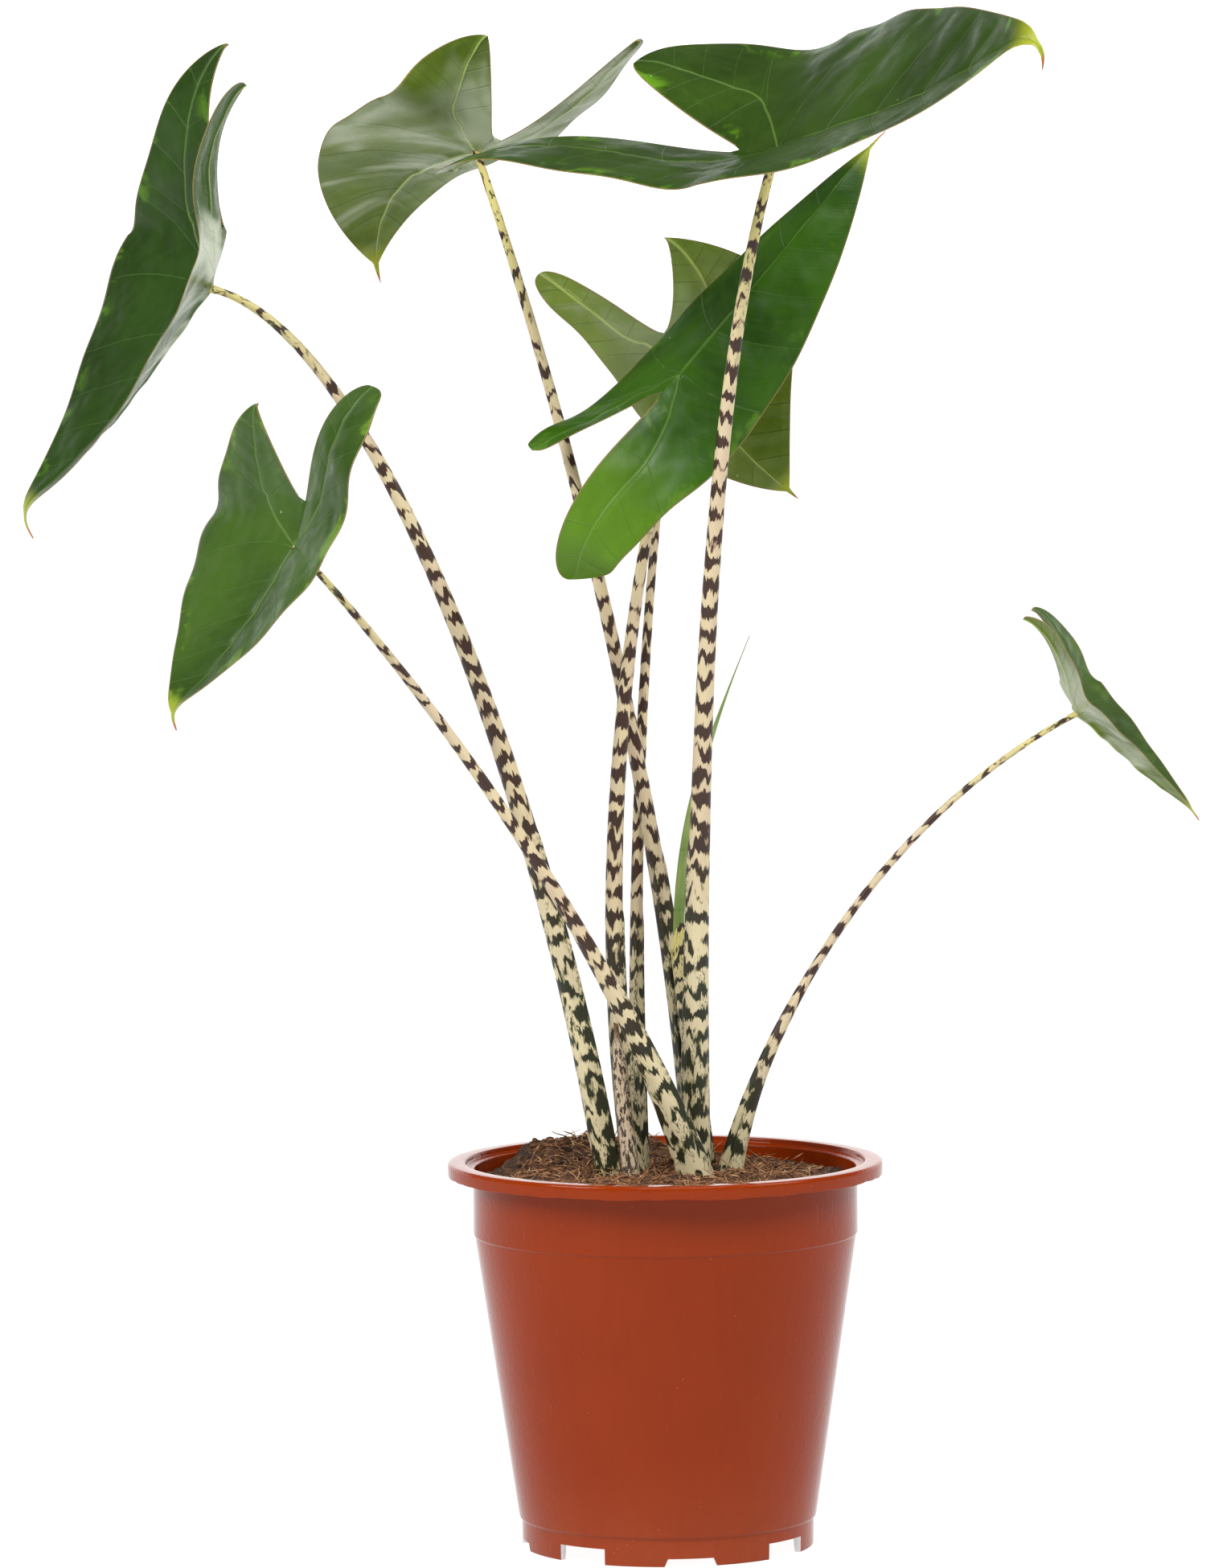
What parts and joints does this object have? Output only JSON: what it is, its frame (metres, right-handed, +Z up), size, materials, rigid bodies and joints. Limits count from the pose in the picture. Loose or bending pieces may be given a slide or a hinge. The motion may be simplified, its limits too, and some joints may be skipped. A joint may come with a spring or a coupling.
{
  "type": "potted alocasia zebrina",
  "caption": "Potted aroid house plant with arrow-shaped leaves on banded stalks, standing in a round plastic nursery pot filled with soil.",
  "frame": {"origin": "middle of the whole plant's box in X and Y, on the ground under the pot's feet", "axes": "+Z up, -Y towards the front of the picture, +X to its right"},
  "size_m": [0.518, 0.2692, 0.6688],
  "materials": {
    "pot": "satin terracotta-brown moulded plastic, lightly dusted",
    "soil": "dark moist peat mix with coir fibres",
    "corm": "brown fibrous rootstock",
    "stalk": "cream stalk with ragged dark brown bands, soft sheen",
    "blade": "dark green waxy leaf, paler and duller underneath",
    "young_leaf": "light green rolled leaf",
    "withered": "dry brown withered stalk base"
  },
  "bodies": {
    "root": {"pot": "pot", "soil": "soil", "corm_left": "corm", "corm_right": "corm", "blade_far_left": "blade", "blade_low_left": "blade", "blade_upper_left": "blade", "blade_upper_right": "blade", "blade_middle": "blade", "blade_behind": "blade", "blade_right": "blade", "petiole_far_left": "stalk", "petiole_low_left": "stalk", "petiole_upper_left": "stalk", "petiole_upper_right": "stalk", "petiole_middle": "stalk", "petiole_behind": "stalk", "petiole_right": "stalk", "new_leaf_sheath": "stalk", "new_leaf": "young_leaf", "old_leaf_base": "withered"}
  },
  "joints": []
}
